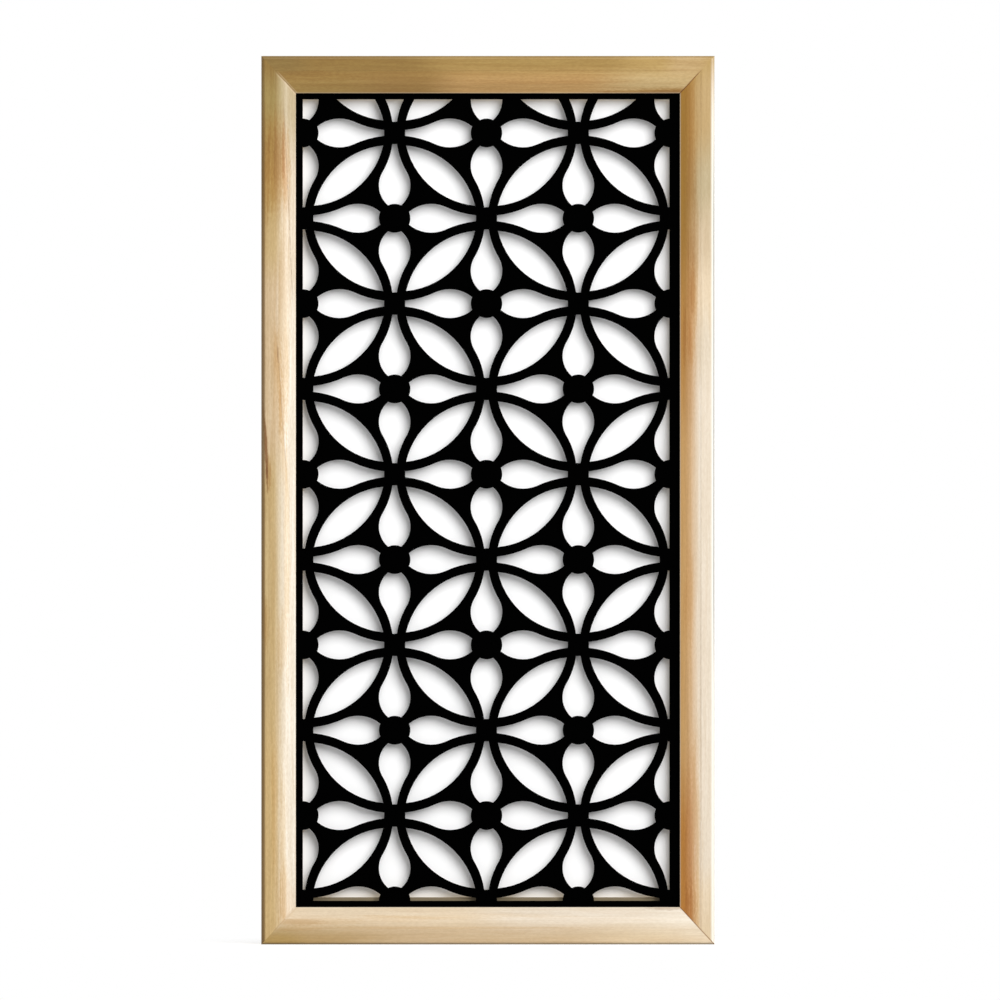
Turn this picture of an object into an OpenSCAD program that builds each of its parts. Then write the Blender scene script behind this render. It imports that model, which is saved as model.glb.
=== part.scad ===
// Framed fretwork panel: a mitred pine moulding round a thin black sheet cut with petals and
// teardrops. Millimetres, +Z up, front face towards -Y, origin at the middle of the bottom edge.
// The sheet lies in a rebate behind the moulding's lip, and four pinned beads hold it there.

/* [Pattern] */
// Width of one pattern cell, from a hub to the disc beside it
cell_w = 124; // [118:0.5:132]
// Height of one pattern cell, from a hub to the disc above it
cell_h = 115.2; // [110:0.4:123]
// Cells side by side
cells_across = 4; // [2:1:6]
// Whole cells one above the other
cells_down = 9; // [2:1:12]
// Height of the part cell that is left above the top row
top_run = 45.4; // [30:0.2:80]
// Strip of the last column that the right bar covers
right_cover = 1; // [0:0.1:3]
// Radius of the disc where it ends a sideways teardrop
disc_side_r = 21.2; // [19:0.1:23]
// Radius of the disc where it ends an upright teardrop
disc_top_r = 19.4; // [17:0.1:21]

/* [Sideways teardrops] */
// Distance from the hub to the blunt end of the neck
side_neck_start = 14.2; // [12:0.1:18]
// Half width that the neck's flare starts from
side_neck_half = 3.3; // [2:0.1:4]
// Half width of the belly
side_belly_half = 19.5; // [17:0.1:20.5]
// Radius of the belly's arcs
side_belly_r = 47.5; // [42:0.5:55]
// Distance from the belly's widest place to the disc's centre
side_belly_back = 49.4; // [46:0.1:53]

/* [Upright teardrops] */
// Distance from the hub to the blunt end of the neck
upright_neck_start = 15; // [12:0.1:18]
// Half width that the neck's flare starts from
upright_neck_half = 2; // [1:0.1:3]
// Half width of the belly
upright_belly_half = 21.3; // [19:0.1:22]
// Radius of the belly's arcs
upright_belly_r = 35.6; // [32:0.2:42]
// Distance from the belly's widest place to the disc's centre
upright_belly_back = 44.4; // [41:0.1:48]

/* [Petals] */
// Sideways distance from a hub to the petal's tip
petal_tip_x = 15.4; // [13:0.1:18]
// Upright distance from a hub to the petal's tip
petal_tip_z = 16.9; // [14:0.1:20]
// Half the petal's thickness
petal_half = 19.9; // [16:0.1:21]

/* [Sheet] */
// Thickness of the sheet
sheet_t = 6; // [3:0.5:10]
// Uncut bar that shows at the left of the pattern
left_bar = 9.4; // [8:0.2:30]
// Uncut bar that shows at the right of the pattern
right_bar = 14.2; // [8:0.2:30]
// Uncut bar that shows above the pattern
top_bar = 8.2; // [7:0.2:30]
// Uncut bar that shows below the pattern
bottom_bar = 8.5; // [7:0.5:30]
// Clearance between the sheet's side edges and the rebate
sheet_gap = 0.8; // [0.2:0.1:2]

/* [Moulding] */
// Face width of the two stiles
stile_w = 46.5; // [40:0.5:70]
// Face width of the two rails
rail_w = 50; // [40:0.5:70]
// Width of the flat outer band on the stiles
flat_w = 18; // [12:0.5:24]
// Step down from the flat band to the rounded slope
quirk = 0.4; // [0.2:0.1:1.5]
// Width of the straight bevel that ends the slope at the sight edge
bevel_w = 10; // [7:0.5:14]
// Depth that the bevel falls over its width
bevel_drop = 7.25; // [4:0.25:9]
// Thickness of the lip in front of the sheet
lip_t = 4; // [2:0.5:8]
// Width of the rebate behind the lip on the stiles
rebate_w = 8; // [5:0.5:12]
// Radius of the outer front edge
front_edge_r = 4.5; // [1:0.5:6]
// Radius of the outer back edge
back_edge_r = 1.5; // [0.5:0.5:3]

/* [Beads] */
// Thickness of the beads behind the sheet
bead_t = 6; // [4:0.5:10]
// Depth of the beads' backs below the moulding's back face
bead_set = 1; // [0:0.5:5]
// How far the side and top beads lap over the sheet past the sight edge
bead_lap = 6; // [3:0.5:6.5]
// Height of the bottom bead that shows above the sheet's bottom bar
sill_show = 4.7; // [2:0.1:9]
// Radius of each bead's inner back edge
bead_edge_r = 2; // [0.5:0.5:3]

/* [Fasteners] */
// Radius of the bead pins
pin_r = 0.7; // [0.5:0.1:1]
// Radius of a pin's head
pin_head_r = 1.3; // [1.2:0.1:1.8]
// Thickness of a pin's head
pin_head_t = 0.8; // [0.5:0.1:1.2]
// Length of a pin's point
pin_point = 2; // [1:0.5:3]
// Radius of the blunt end of a pin's point
pin_tip_r = 0.2; // [0.1:0.05:0.3]
// Depth that a pin goes into the moulding
pin_bite = 12; // [6:1:18]
// Spacing of the pins along a bead
pin_spacing = 150; // [80:10:250]
// Length of each leg of a corner wedge
wedge_leg = 8; // [5:0.5:10]
// Thickness of a corner wedge's metal
wedge_metal = 0.8; // [0.6:0.1:1.2]
// Height of a corner wedge
wedge_h = 12; // [8:1:14]
// How far a corner wedge is driven below the back face
wedge_sunk = 0.4; // [0.2:0.1:1]
// Clearance round each pin and wedge
driven_fit = 0.05; // [0.02:0.01:0.1]

/* [Hidden] */
$fn = 64;

pine = [0.80, 0.67, 0.48];
black = [0.03, 0.03, 0.03];
steel = [0.62, 0.63, 0.65];

// the window is the cut part of the sheet, and the sight opening is what the moulding leaves open
window_w = cells_across * cell_w - right_cover;
window_h = cells_down * cell_h + top_run;
sight_w = left_bar + window_w + right_bar;
sight_h = bottom_bar + window_h + top_bar;
panel_w = sight_w + 2 * stile_w;
panel_h = sight_h + 2 * rail_w;

// each mitre runs from the sight corner to the outer corner, so a rail's section is a stile's
// section stretched sideways by this ratio
mitre_ratio = rail_w / stile_w;
rail_rebate_w = rebate_w * mitre_ratio;

// the slope is an arc that leaves the flat band level and ends at the bevel's angle
slope_w = stile_w - flat_w;
round_drop = (slope_w - bevel_w) * tan(atan2(bevel_drop, bevel_w) / 2);
roll_drop = quirk + round_drop + bevel_drop;

// depths, measured from the front face
sheet_front = roll_drop + lip_t;
bead_front = sheet_front + sheet_t;
frame_t = bead_front + bead_t + bead_set;
front_y = -frame_t / 2;
back_y = frame_t / 2;

// beads
side_bead_w = rebate_w + bead_lap;
top_bead_w = rail_rebate_w + bead_lap;
bottom_bead_w = rail_rebate_w + bottom_bar + sill_show;
rail_bead_l = sight_w + 2 * rebate_w;
side_bead_z = rail_w - rail_rebate_w + bottom_bead_w;
side_bead_l = panel_h - rail_w + rail_rebate_w - top_bead_w - side_bead_z;
pin_y = front_y + bead_front + bead_t / 2;

// corner wedges stand at these shares of the way from the sight corner to the outer corner
wedge_places = [0.42, 0.74];

// room that a cutting shape has past the face that it cuts
over = 1;
// where an arc runs into another line of an outline, it goes this far into it, so that they cross
blend_bite = 0.05;
// room that a mitre's cutting block has past both ends of the mitre, as a share of its length
mitre_over = 0.1;

// Pattern

function is_hub(column, row) = (column + row) % 2 == 0;

// a teardrop from a hub at the origin to a disc at x = run: its sides flare out of the neck on
// one arc, which runs into the belly's arc at the height join_y
module teardrop(run, neck_start, neck_half, belly_half, belly_r, belly_back, disc_r) {
    belly_x = run - belly_back;
    rise = belly_half - neck_half;
    reach = (belly_x * belly_x + rise * rise) / (2 * rise);
    flare_r = reach - belly_r;
    flare_y = neck_half + flare_r;
    join_y = flare_y - (flare_y + belly_r - belly_half) * flare_r / reach;
    difference() {
        union() {
            translate([neck_start, -join_y]) square([belly_x - neck_start, 2 * join_y]);
            intersection() {
                translate([belly_x, belly_half - belly_r]) circle(r = belly_r);
                translate([belly_x, belly_r - belly_half]) circle(r = belly_r);
            }
        }
        translate([0, flare_y]) circle(r = flare_r + blend_bite);
        translate([0, -flare_y]) circle(r = flare_r + blend_bite);
        translate([run, 0]) circle(r = disc_r);
    }
}

module sideways_teardrop() {
    teardrop(cell_w, side_neck_start, side_neck_half, side_belly_half, side_belly_r,
        side_belly_back, disc_side_r);
}

module upright_teardrop() {
    rotate(90)
        teardrop(cell_h, upright_neck_start, upright_neck_half, upright_belly_half,
            upright_belly_r, upright_belly_back, disc_top_r);
}

// a petal across one cell, from the hub at its lower left to the hub at its upper right
module petal() {
    run_x = cell_w - 2 * petal_tip_x;
    run_z = cell_h - 2 * petal_tip_z;
    half_chord = norm([run_x, run_z]) / 2;
    petal_r = (half_chord * half_chord + petal_half * petal_half) / (2 * petal_half);
    translate([cell_w / 2, cell_h / 2])
        rotate(atan2(run_z, run_x))
            intersection() {
                translate([0, petal_r - petal_half]) circle(r = petal_r);
                translate([0, petal_half - petal_r]) circle(r = petal_r);
            }
}

module openings() {
    for (row = [0 : cells_down], column = [0 : cells_across - 1])
        translate([column * cell_w, row * cell_h])
            if (is_hub(column, row)) {
                petal();
                sideways_teardrop();
            } else {
                translate([cell_w, 0]) mirror([1, 0]) {
                    petal();
                    sideways_teardrop();
                }
            }
    for (row = [0 : cells_down], column = [0 : cells_across])
        translate([column * cell_w, row * cell_h])
            if (is_hub(column, row)) upright_teardrop();
            else translate([0, cell_h]) mirror([0, 1]) upright_teardrop();
}

module sheet_outline() {
    translate([sheet_gap - rebate_w - left_bar, -bottom_bar - rail_rebate_w])
        square([sight_w + 2 * (rebate_w - sheet_gap), sight_h + 2 * rail_rebate_w - 2 * sheet_gap]);
}

module fretwork_sheet() {
    color(black)
        translate([left_bar - sight_w / 2, front_y + sheet_front + sheet_t, rail_w + bottom_bar])
            rotate([90, 0, 0])
                linear_extrude(height = sheet_t)
                    difference() {
                        sheet_outline();
                        intersection() {
                            square([window_w, window_h]);
                            openings();
                        }
                    }
}

// Moulding

// a quarter disc of radius r that fills the corner from its centre towards +x and -y
module edge_round(r) {
    intersection() {
        translate([0, -r - over]) square([r + over, r + over]);
        circle(r = r);
    }
}

// section across a member: x runs outwards from the sight edge and y back from the front face
module moulding_section(stretch) {
    slope = slope_w * stretch;
    width = (slope_w + flat_w) * stretch;
    bevel = bevel_w * stretch;
    arc_run = slope - bevel;
    arc_r = (arc_run * arc_run + round_drop * round_drop) / (2 * round_drop);
    difference() {
        union() {
            polygon([
                [0, roll_drop],
                [bevel, quirk + round_drop + blend_bite],
                [bevel, frame_t],
                [0, frame_t]
            ]);
            intersection() {
                square([slope, frame_t]);
                translate([slope, quirk + arc_r]) circle(r = arc_r);
            }
            translate([slope, 0]) square([width - front_edge_r - slope, frame_t]);
            translate([width - front_edge_r, front_edge_r])
                square([front_edge_r, frame_t - front_edge_r - back_edge_r]);
            translate([width - front_edge_r, front_edge_r]) edge_round(front_edge_r);
            translate([width - front_edge_r, frame_t - back_edge_r])
                square([front_edge_r - back_edge_r, back_edge_r]);
            translate([width - back_edge_r, frame_t - back_edge_r])
                mirror([0, 1]) edge_round(back_edge_r);
        }
        translate([-over, sheet_front])
            square([rebate_w * stretch + over, frame_t - sheet_front + over]);
    }
}

// block between the mitres of the left stile, seen from the front
module stile_block() {
    near = -mitre_over;
    far = 1 + mitre_over;
    rotate([90, 0, 0])
        linear_extrude(height = frame_t + 2 * over, center = true)
            polygon([
                [near * stile_w - panel_w / 2, near * rail_w],
                [far * stile_w - panel_w / 2, far * rail_w],
                [far * stile_w - panel_w / 2, panel_h - far * rail_w],
                [near * stile_w - panel_w / 2, panel_h - near * rail_w]
            ]);
}

// block between the mitres of the bottom rail, seen from the front
module rail_block() {
    near = -mitre_over;
    far = 1 + mitre_over;
    rotate([90, 0, 0])
        linear_extrude(height = frame_t + 2 * over, center = true)
            polygon([
                [near * stile_w - panel_w / 2, near * rail_w],
                [far * stile_w - panel_w / 2, far * rail_w],
                [panel_w / 2 - far * stile_w, far * rail_w],
                [panel_w / 2 - near * stile_w, near * rail_w]
            ]);
}

module stile_at_left() {
    difference() {
        intersection() {
            translate([-sight_w / 2, front_y, 0])
                mirror([1, 0, 0])
                    linear_extrude(height = panel_h) moulding_section(1);
            stile_block();
        }
        left_pins(driven_fit);
        all_wedges(driven_fit);
    }
}

module left_stile() {
    color(pine) stile_at_left();
}

module right_stile() {
    color(pine) mirror([1, 0, 0]) stile_at_left();
}

module rail_bar() {
    intersection() {
        translate([-panel_w / 2, front_y, rail_w])
            rotate([0, 90, 0])
                linear_extrude(height = panel_w) moulding_section(mitre_ratio);
        rail_block();
    }
}

module top_rail() {
    color(pine)
        difference() {
            translate([0, 0, panel_h]) mirror([0, 0, 1]) rail_bar();
            top_pins(driven_fit);
            all_wedges(driven_fit);
        }
}

module bottom_rail() {
    color(pine)
        difference() {
            rail_bar();
            bottom_pins(driven_fit);
            all_wedges(driven_fit);
        }
}

// Beads

// section of a bead: x runs outwards from its inner edge and y back from the sheet
module bead_section(width) {
    translate([bead_edge_r, 0]) square([width - bead_edge_r, bead_t]);
    square([bead_edge_r, bead_t - bead_edge_r]);
    translate([bead_edge_r, bead_t - bead_edge_r]) rotate(180) edge_round(bead_edge_r);
}

module bead_at_left() {
    difference() {
        translate([bead_lap - sight_w / 2, front_y + bead_front, side_bead_z])
            mirror([1, 0, 0])
                linear_extrude(height = side_bead_l) bead_section(side_bead_w);
        left_pins(driven_fit);
    }
}

module left_bead() {
    color(pine) bead_at_left();
}

module right_bead() {
    color(pine) mirror([1, 0, 0]) bead_at_left();
}

// a bead along x whose inner edge faces up
module rail_bead(width) {
    translate([-rail_bead_l / 2, front_y + bead_front, 0])
        rotate([0, 90, 0])
            linear_extrude(height = rail_bead_l) bead_section(width);
}

module top_bead() {
    color(pine)
        difference() {
            translate([0, 0, panel_h - rail_w - bead_lap])
                mirror([0, 0, 1]) rail_bead(top_bead_w);
            top_pins(driven_fit);
        }
}

module bottom_bead() {
    color(pine)
        difference() {
            translate([0, 0, side_bead_z]) rail_bead(bottom_bead_w);
            bottom_pins(driven_fit);
        }
}

// Fasteners

// a pin along +x whose head's outer face is at the origin, grown all round by fit
module pin(length, fit) {
    rotate([0, 90, 0]) {
        cylinder(r = pin_head_r + fit, h = pin_head_t);
        cylinder(r = pin_r + fit, h = length - pin_point);
        translate([0, 0, length - pin_point])
            cylinder(r1 = pin_r + fit, r2 = pin_tip_r + fit, h = pin_point + fit);
    }
}

// places of the pins along a bead of this length
function pin_places(length) =
    let (count = max(2, round(length / pin_spacing)))
    [for (i = [0 : count - 1]) (i + 0.5) * length / count];

module left_pins(fit) {
    for (place = pin_places(side_bead_l))
        translate([bead_lap - sight_w / 2, pin_y, side_bead_z + place])
            mirror([1, 0, 0]) pin(side_bead_w + pin_bite, fit);
}

module top_pins(fit) {
    for (place = pin_places(rail_bead_l))
        translate([place - rail_bead_l / 2, pin_y, panel_h - rail_w - bead_lap])
            rotate([0, -90, 0]) pin(top_bead_w + pin_bite, fit);
}

module bottom_pins(fit) {
    for (place = pin_places(rail_bead_l))
        translate([place - rail_bead_l / 2, pin_y, side_bead_z])
            rotate([0, 90, 0]) pin(bottom_bead_w + pin_bite, fit);
}

module bead_pins() {
    color(steel) {
        left_pins(0);
        mirror([1, 0, 0]) left_pins(0);
        top_pins(0);
        bottom_pins(0);
    }
}

// a wedge seen from behind: two legs at right angles from a point on the mitre
module wedge_outline(fit) {
    for (side = [-1, 1])
        rotate(45 * side)
            translate([-wedge_metal / 2 - fit, -wedge_metal / 2 - fit])
                square([wedge_leg + 2 * fit, wedge_metal + 2 * fit]);
}

// the wedges of the lower left corner
module corner_pair(fit) {
    for (place = wedge_places)
        translate([(1 - place) * stile_w - panel_w / 2, back_y - wedge_sunk, (1 - place) * rail_w])
            rotate([90, 0, 0])
                linear_extrude(height = wedge_h + fit)
                    rotate(atan2(rail_w, stile_w)) wedge_outline(fit);
}

module all_wedges(fit) {
    for (flip_x = [0, 1], flip_z = [0, 1])
        translate([0, 0, flip_z * panel_h])
            mirror([flip_x, 0, 0]) mirror([0, 0, flip_z]) corner_pair(fit);
}

module corner_wedges() {
    color(steel) all_wedges(0);
}

left_stile();
right_stile();
top_rail();
bottom_rail();
fretwork_sheet();
left_bead();
right_bead();
top_bead();
bottom_bead();
bead_pins();
corner_wedges();
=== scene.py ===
# %% [markdown]
# # A framed fretwork panel
#
# The real thing is a pine moulding, mitred at four corners, round a black sheet that is sawn
# through in a pattern of petals and teardrops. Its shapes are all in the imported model, so this
# lesson is about finishes: wood that differs from board to board, a matt black spray coat, bare
# wood and steel at the back, and light that shows a shallow moulding from straight in front.

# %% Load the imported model
import math
from functools import reduce

import bpy
import numpy as np
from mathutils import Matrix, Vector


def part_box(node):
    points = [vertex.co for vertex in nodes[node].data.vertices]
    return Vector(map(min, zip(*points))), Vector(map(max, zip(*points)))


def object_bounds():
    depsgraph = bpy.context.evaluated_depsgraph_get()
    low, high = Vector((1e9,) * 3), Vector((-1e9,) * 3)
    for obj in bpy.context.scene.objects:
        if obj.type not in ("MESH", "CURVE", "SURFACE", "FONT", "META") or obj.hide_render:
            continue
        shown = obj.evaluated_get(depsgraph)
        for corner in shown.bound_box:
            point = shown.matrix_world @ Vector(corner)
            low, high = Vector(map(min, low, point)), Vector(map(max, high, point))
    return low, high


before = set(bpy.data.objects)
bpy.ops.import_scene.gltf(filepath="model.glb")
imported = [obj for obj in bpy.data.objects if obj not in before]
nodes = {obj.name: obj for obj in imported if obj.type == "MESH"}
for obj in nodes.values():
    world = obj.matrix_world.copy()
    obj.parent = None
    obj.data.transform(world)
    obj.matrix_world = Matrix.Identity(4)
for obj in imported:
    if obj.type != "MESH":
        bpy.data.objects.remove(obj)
cad_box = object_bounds()
print("nodes:", sorted(nodes))
print("CAD box:", [round(v, 4) for corner in cad_box for v in corner])

# %% [markdown]
# ## The sizes that the finishes need
#
# The model is in metres, with its origin at the middle of the bottom edge. A finish is painted by
# place: how far along a board a point is, and how far from the opening's edge. Every such place
# is worked out from the pieces' own boxes, so it follows the model if the model changes.

# %% Measure the pieces
low, high = cad_box
panel_w = high.x - low.x
panel_h = high.z - low.z
middle_z = (low.z + high.z) / 2
front_y = low.y
back_y = high.y
stile_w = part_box("left_stile")[1].x - low.x
rail_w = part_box("bottom_rail")[1].z - low.z
sight_w = panel_w - 2 * stile_w
sight_h = panel_h - 2 * rail_w
sheet_front, sheet_back = (corner.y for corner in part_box("fretwork_sheet"))
print("sight opening", round(sight_w, 4), "by", round(sight_h, 4), "m")
print("depth", round(back_y - front_y, 4), "m")

# %% [markdown]
# ## The camera
#
# The photograph looks straight at the middle of the panel. It shows none of its sides, and what
# lies deeper looks no smaller, so the lens was very long and far away. The panel's height in the
# picture says how many millimetres a pixel is, and its middle says how far the view is shifted:
# here by a few pixels only. The scale is set at the sheet's front, whose edges are the sharpest.

# %% Set up the camera
PICTURE_PX = 1000
PANEL_LEFT_PX = 261.4
PANEL_RIGHT_PX = 714.4
PANEL_TOP_PX = 56.15
PANEL_BOTTOM_PX = 944.2
LENS_MM = 800
SENSOR_MM = 36
CLIP_END = 100


def frame_the_panel():
    """The distance follows from similar triangles: view width / distance = sensor / lens."""
    metres_per_px = panel_h / (PANEL_BOTTOM_PX - PANEL_TOP_PX)
    view_w = metres_per_px * PICTURE_PX
    data = bpy.data.cameras.new("camera")
    data.lens = LENS_MM
    data.sensor_width = SENSOR_MM
    data.shift_x = 0.5 - (PANEL_LEFT_PX + PANEL_RIGHT_PX) / 2 / PICTURE_PX
    data.shift_y = (PANEL_TOP_PX + PANEL_BOTTOM_PX) / 2 / PICTURE_PX - 0.5
    data.clip_end = CLIP_END
    camera = bpy.data.objects.new("camera", data)
    camera.location = (0, sheet_front - view_w * LENS_MM / SENSOR_MM, middle_z)
    camera.rotation_euler = (math.pi / 2, 0, 0)
    bpy.context.scene.collection.objects.link(camera)
    bpy.context.scene.camera = camera
    return camera


camera = frame_the_panel()
bpy.context.scene.view_settings.view_transform = "Standard"
print("camera at", [round(v, 3) for v in camera.location])

# %% [markdown]
# ## Writing a finish as a recipe
#
# A finish in Blender is a graph of nodes. Built by hand in a window it is easy to draw and hard
# to read later, so here each finish is a short list of calls. Every call adds one node, plugs in
# what it is given and hands back its output, which the next call can use as if it were a number.

# %% A recipe for a node graph


class Recipe:
    """A node graph under construction. A value may be a number, a colour or a node's output."""

    def __init__(self, owner):
        owner.use_nodes = True
        self.tree = owner.node_tree
        self.tree.nodes.clear()

    def put(self, kind, values, **settings):
        """Adds a node of this kind. values maps input names or numbers to values."""
        made = self.tree.nodes.new("ShaderNode" + kind)
        for key, value in settings.items():
            setattr(made, key, value)
        for key, value in values.items():
            if isinstance(value, bpy.types.NodeSocket):
                self.tree.links.new(value, made.inputs[key])
            else:
                made.inputs[key].default_value = value
        return made

    def math(self, operation, *values, clamp=False):
        """A number from one, two or three numbers."""
        made = self.put("Math", dict(enumerate(values)), operation=operation, use_clamp=clamp)
        return made.outputs[0]

    def point(self):
        """The point in the piece's own coordinates, which are the model's metres."""
        return self.put("TexCoord", {}).outputs["Object"]

    def length(self, vector):
        """How long a vector is."""
        return self.put("VectorMath", {0: vector}, operation="LENGTH").outputs["Value"]

    def noise(self, point, cells, detail):
        """A cloudy pattern, 0 to 1 with its middle at 0.5, of so many cells to the metre."""
        values = {"Vector": point, "Scale": cells, "Detail": detail}
        return self.put("TexNoise", values).outputs[0]

    def relief(self, height, strength, distance):
        """The way the surface faces where it stands out by this height times the distance."""
        values = {"Height": height, "Strength": strength, "Distance": distance}
        return self.put("Bump", values).outputs[0]

    def times(self, *values):
        """The product of two or more numbers."""
        return reduce(lambda product, value: self.math("MULTIPLY", product, value), values)

    def off(self, value, middle):
        """How far a number is from the middle, on either side of it."""
        return self.math("ABSOLUTE", self.math("SUBTRACT", value, middle))

    def mix(self, share, first, second, blend="MIX"):
        """A colour between two colours, which are the node's inputs 6 and 7."""
        values = {0: share, 6: first, 7: second}
        return self.put("Mix", values, data_type="RGBA", blend_type=blend).outputs[2]

    def filter(self, share, colour, shade):
        """The colour as it looks through a filter of this shade, which has this share."""
        return self.mix(share, colour, shade, blend="MULTIPLY")

    def finish(self, kind, shader):
        """Plugs a shader into the graph's output."""
        self.put("Output" + kind, {"Surface": shader})


# %% [markdown]
# ## Light and background
#
# The photograph was lit softly from the right, with some light from above, and its background is
# pure white. A big lamp on each of those sides and a plain pale surround do that. The white is
# the surround's colour as the camera sees it, while less light than that falls on the panel.

# %% Build the surround and the lamps
SURROUND_LIGHT = 0.5


def surround_strength(recipe):
    """1, which is white, to the camera and in reflections, and less as a source of light."""
    path = recipe.put("LightPath", {})
    seen = recipe.math("MAXIMUM", path.outputs["Is Camera Ray"], path.outputs["Is Glossy Ray"])
    seen = recipe.math("MAXIMUM", seen, path.outputs["Is Transmission Ray"])
    return recipe.math("MULTIPLY_ADD", seen, 1 - SURROUND_LIGHT, SURROUND_LIGHT)


def build_surround():
    """A plain white world, as strong as surround_strength says."""
    world = bpy.data.worlds.new("surround")
    bpy.context.scene.world = world
    recipe = Recipe(world)
    strength = surround_strength(recipe)
    shader = recipe.put("Background", {"Color": (1, 1, 1, 1), "Strength": strength})
    recipe.finish("World", shader.outputs[0])


def softbox(name, azimuth, elevation, distance, width, height, level):
    """A lamp that faces the panel's middle from that side. level is the brightness that it gives
    a white surface which faces it: a lamp of power P and area A looks P / (pi A) bright, and
    covers A / distance^2 of the view, so level = P / (pi^2 distance^2)."""
    a, e = math.radians(azimuth), math.radians(elevation)
    away = np.array([math.sin(a) * math.cos(e), -math.cos(a) * math.cos(e), math.sin(e)])
    data = bpy.data.lights.new(name, "AREA")
    data.shape = "RECTANGLE"
    data.size = width
    data.size_y = height
    data.energy = level * math.pi ** 2 * distance ** 2
    lamp = bpy.data.objects.new(name, data)
    lamp.location = away * distance + np.array([0, 0, middle_z])
    lamp.rotation_euler = (math.pi / 2 - e, 0, a)
    lamp.visible_camera = False
    bpy.context.scene.collection.objects.link(lamp)
    return lamp


build_surround()
right_softbox = softbox(
    "right_softbox", azimuth=52, elevation=4, distance=4.5, width=1.4, height=1.8, level=0.57)
top_softbox = softbox(
    "top_softbox", azimuth=10, elevation=42, distance=5.0, width=1.8, height=1.4, level=0.29)
print("softboxes of", [round(lamp.data.energy) for lamp in (right_softbox, top_softbox)], "W")

# %% [markdown]
# ## The floor and the card behind the openings
#
# Two plain white surfaces catch the panel's shadow. The floor carries it, and fades to the white
# surround a short way off. A card stands close behind the sheet, as a wall would, and shows
# through the openings: the soft shadows on it are what makes the thin sheet look solid. Seen from
# behind, the card isn't there, so that it hides nothing of the panel's back.
#
# The photograph's shadows lie along the tops and right edges of the openings and fade evenly to
# white. A big lamp gives that, because a point lower in an opening sees more of it. It is linked
# to the card alone, only the sheet casts its shadows, and the softboxes are kept off the card, so
# each can be set by itself. A third softbox behind lights nothing but the panel, for its back.

# %% Build the floor and the card
FLOOR_R = 3.0
FLOOR_CLEAR_R = 0.6
CARD_GAP = 0.0105
FLOOR_GLOW = 0.6
CARD_GLOW = 0.04
FLOOR_WHITE = 0.66
CARD_WHITE = 1.0


def flat_sheet(name, corners):
    """One four-cornered face, which isn't part of the panel."""
    mesh = bpy.data.meshes.new(name)
    mesh.from_pydata(corners, [], [(0, 1, 2, 3)])
    made = bpy.data.objects.new(name, mesh)
    bpy.context.scene.collection.objects.link(made)
    return made


def lit_white(recipe, white, glow):
    """A white surface that takes shadows: part of its brightness is reflected light, which a
    shadow removes, and the rest is a glow, which only the camera sees."""
    camera_ray = recipe.put("LightPath", {}).outputs["Is Camera Ray"]
    lit = recipe.put("BsdfDiffuse", {"Color": (white, white, white, 1)})
    strength = recipe.math("MULTIPLY", camera_ray, glow)
    glowing = recipe.put("Emission", {"Strength": strength})
    return recipe.put("AddShader", {0: lit.outputs[0], 1: glowing.outputs[0]}).outputs[0]


def build_floor():
    """A square floor, lit white near the panel, that fades to the surround farther off."""
    r = FLOOR_R
    floor = flat_sheet("floor", [(-r, -r, 0), (r, -r, 0), (r, r, 0), (-r, r, 0)])
    material = bpy.data.materials.new("floor_white")
    recipe = Recipe(material)
    distance = recipe.length(recipe.point())
    away = recipe.put("MapRange", {0: distance, 1: panel_w / 2, 2: FLOOR_CLEAR_R},
                      interpolation_type="SMOOTHSTEP").outputs[0]
    clear = recipe.put("Emission", {"Strength": surround_strength(recipe)}).outputs[0]
    near = lit_white(recipe, FLOOR_WHITE, FLOOR_GLOW)
    recipe.finish("Material", recipe.put("MixShader", {0: away, 1: near, 2: clear}).outputs[0])
    floor.data.materials.append(material)
    return floor


def build_card():
    """A white card of the sight opening's size, which only a camera in front of it sees."""
    x = sight_w / 2
    y = sheet_back + CARD_GAP
    bottom, top = rail_w, panel_h - rail_w
    card = flat_sheet("card", [(-x, y, bottom), (x, y, bottom), (x, y, top), (-x, y, top)])
    material = bpy.data.materials.new("card_white")
    recipe = Recipe(material)
    behind = recipe.put("NewGeometry", {}).outputs["Backfacing"]
    camera_ray = recipe.put("LightPath", {}).outputs["Is Camera Ray"]
    shown = recipe.math("SUBTRACT", camera_ray, behind, clamp=True)
    nothing = recipe.put("BsdfTransparent", {}).outputs[0]
    white = lit_white(recipe, CARD_WHITE, CARD_GLOW)
    recipe.finish("Material", recipe.put("MixShader", {0: shown, 1: nothing, 2: white}).outputs[0])
    card.data.materials.append(material)
    return card


def link_lamp(lamp, receivers, state):
    """INCLUDE: the lamp lights nothing but the receivers. EXCLUDE: it lights all but those."""
    group = bpy.data.collections.new(lamp.name + "_receivers")
    for place, receiver in enumerate(receivers):
        group.objects.link(receiver)
        group.collection_objects[place].light_linking.link_state = state
    lamp.light_linking.receiver_collection = group


def limit_shadows(lamp, blocker):
    """Only the blocker casts this lamp's shadows."""
    group = bpy.data.collections.new(lamp.name + "_blockers")
    group.objects.link(blocker)
    lamp.light_linking.blocker_collection = group


floor = build_floor()
card = build_card()
card_lamp = softbox(
    "card_lamp", azimuth=25, elevation=27, distance=9.0, width=6.4, height=7.2, level=1.01)
link_lamp(card_lamp, [card], "INCLUDE")
limit_shadows(card_lamp, nodes["fretwork_sheet"])
for lamp in (right_softbox, top_softbox):
    link_lamp(lamp, [card], "EXCLUDE")
back_softbox = softbox(
    "back_softbox", azimuth=215, elevation=25, distance=5.0, width=1.8, height=1.8, level=0.4)
link_lamp(back_softbox, list(nodes.values()), "INCLUDE")
print("card", round(1000 * (card.data.vertices[0].co.y - sheet_back), 1), "mm behind the sheet")

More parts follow.
